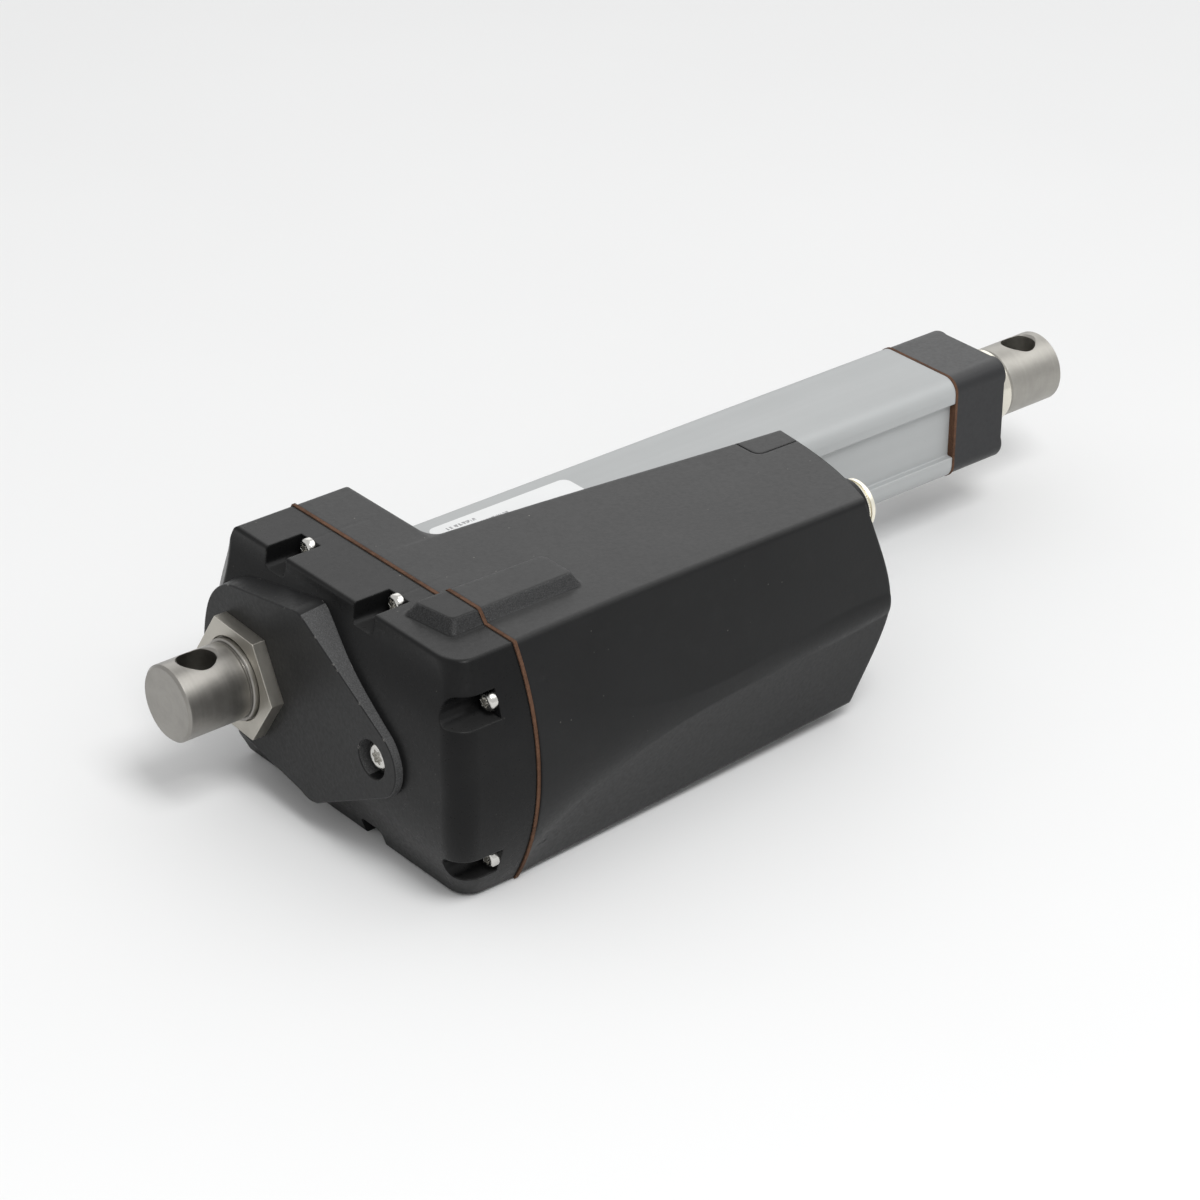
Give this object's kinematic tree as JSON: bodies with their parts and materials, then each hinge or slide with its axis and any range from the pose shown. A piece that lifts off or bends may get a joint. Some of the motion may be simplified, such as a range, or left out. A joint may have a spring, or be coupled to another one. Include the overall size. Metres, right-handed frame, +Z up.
{
  "type": "electric linear actuator",
  "caption": "Electric linear actuator: square tube with a sliding round rod, side-mounted motor housing, gearbox cover, and a cross-drilled eye at each end.",
  "frame": {"origin": "centre of the rear eye's pin hole", "axes": "+X along the rod towards the front eye, +Y to the side away from the motor, +Z up along both pin holes"},
  "size_m": [0.3719, 0.1333, 0.0857],
  "materials": {
    "powder_coat": "fine-textured matt black powder coat",
    "gasket_brown": "matt brown fibre and rubber sheet",
    "turned_steel": "turned stainless steel, fine circular marks",
    "nut_steel": "satin stainless steel",
    "screw_steel": "bright stainless steel",
    "tube_aluminium": "satin natural anodised aluminium",
    "cap_black": "smooth satin anthracite",
    "rod_steel": "ground and polished steel",
    "bush_polymer": "low-friction polymer",
    "wiper_polymer": "black polyurethane",
    "nut_polymer": "natural acetal",
    "spindle_steel": "rolled steel thread",
    "bearing_steel": "ground bearing steel",
    "gear_steel": "hobbed steel",
    "gear_polymer": "natural acetal",
    "motor_steel": "zinc-plated steel",
    "magnet_ferrite": "dark ferrite",
    "lamination_steel": "stacked laminations",
    "copper": "enamelled copper wire",
    "brush_carbon": "carbon",
    "plate_polymer": "black moulded polymer",
    "board_green": "green solder mask",
    "socket_nickel": "nickel-plated brass",
    "label_white": "blank satin foil"
  },
  "bodies": {
    "rotor": {"motor_pinion": "gear_steel", "motor_shaft": "gear_steel", "motor_armature": "lamination_steel", "armature_windings": "copper", "commutator": "copper"},
    "idler": {"idler_gear": "gear_polymer", "idler_pinion": "gear_steel"},
    "spindle_assembly": {"spindle": "spindle_steel", "spindle_tip_ring": "bush_polymer", "spindle_bearing_inner": "bearing_steel", "spindle_bearing_balls": "bearing_steel", "spindle_gear": "gear_polymer"},
    "rod_assembly": {"piston_rod": "rod_steel", "front_eye": "turned_steel", "drive_nut": "nut_polymer", "nut_guide": "bush_polymer"},
    "housing": {"rear_cover": "powder_coat", "motor_housing": "powder_coat", "housing_insert": "powder_coat", "rear_plate": "powder_coat", "housing_gasket": "gasket_brown", "front_gasket": "gasket_brown", "cover_screws": "screw_steel", "rear_plate_screw": "screw_steel", "front_cap_screws": "screw_steel", "rear_eye": "turned_steel", "rear_eye_nut": "nut_steel", "outer_tube": "tube_aluminium", "front_cap": "cap_black", "rod_guide_bush": "bush_polymer", "rod_wiper": "wiper_polymer", "spindle_bearing_outer": "bearing_steel", "idler_shaft": "gear_steel", "idler_bushing": "bush_polymer", "motor_can": "motor_steel", "motor_front_plate": "motor_steel", "motor_bearings": "bearing_steel", "motor_brush_plate": "plate_polymer", "motor_magnets": "magnet_ferrite", "motor_brushes": "brush_carbon", "circuit_board": "board_green", "cable_socket": "socket_nickel", "cable_socket_insert": "plate_polymer", "tube_label": "label_white"}
  },
  "joints": [
    {"name": "rotor_spin", "type": "hinge", "parent": "housing", "child": "rotor", "pos_m": [0.1, -0.064, 0], "axis": [1, 0, 0], "range_deg": [0, 103500]},
    {"name": "idler_spin", "type": "hinge", "parent": "housing", "child": "idler", "pos_m": [0.04, -0.032, 0], "axis": [1, 0, 0], "range_deg": [-40500, 0]},
    {"name": "spindle_spin", "type": "hinge", "parent": "housing", "child": "spindle_assembly", "pos_m": [0.1, 0, 0], "axis": [1, 0, 0], "range_deg": [0, 13500]},
    {"name": "rod_slide", "type": "slide", "parent": "housing", "child": "rod_assembly", "axis": [1, 0, 0], "range_m": [0, 0.15]}
  ],
  "couplings": [
    {"joint": "idler_spin", "follows": "rotor_spin", "ratio": -0.3913},
    {"joint": "spindle_spin", "follows": "rotor_spin", "ratio": 0.13043},
    {"joint": "rod_slide", "follows": "rotor_spin", "m_per_rad": 0.000083037}
  ]
}
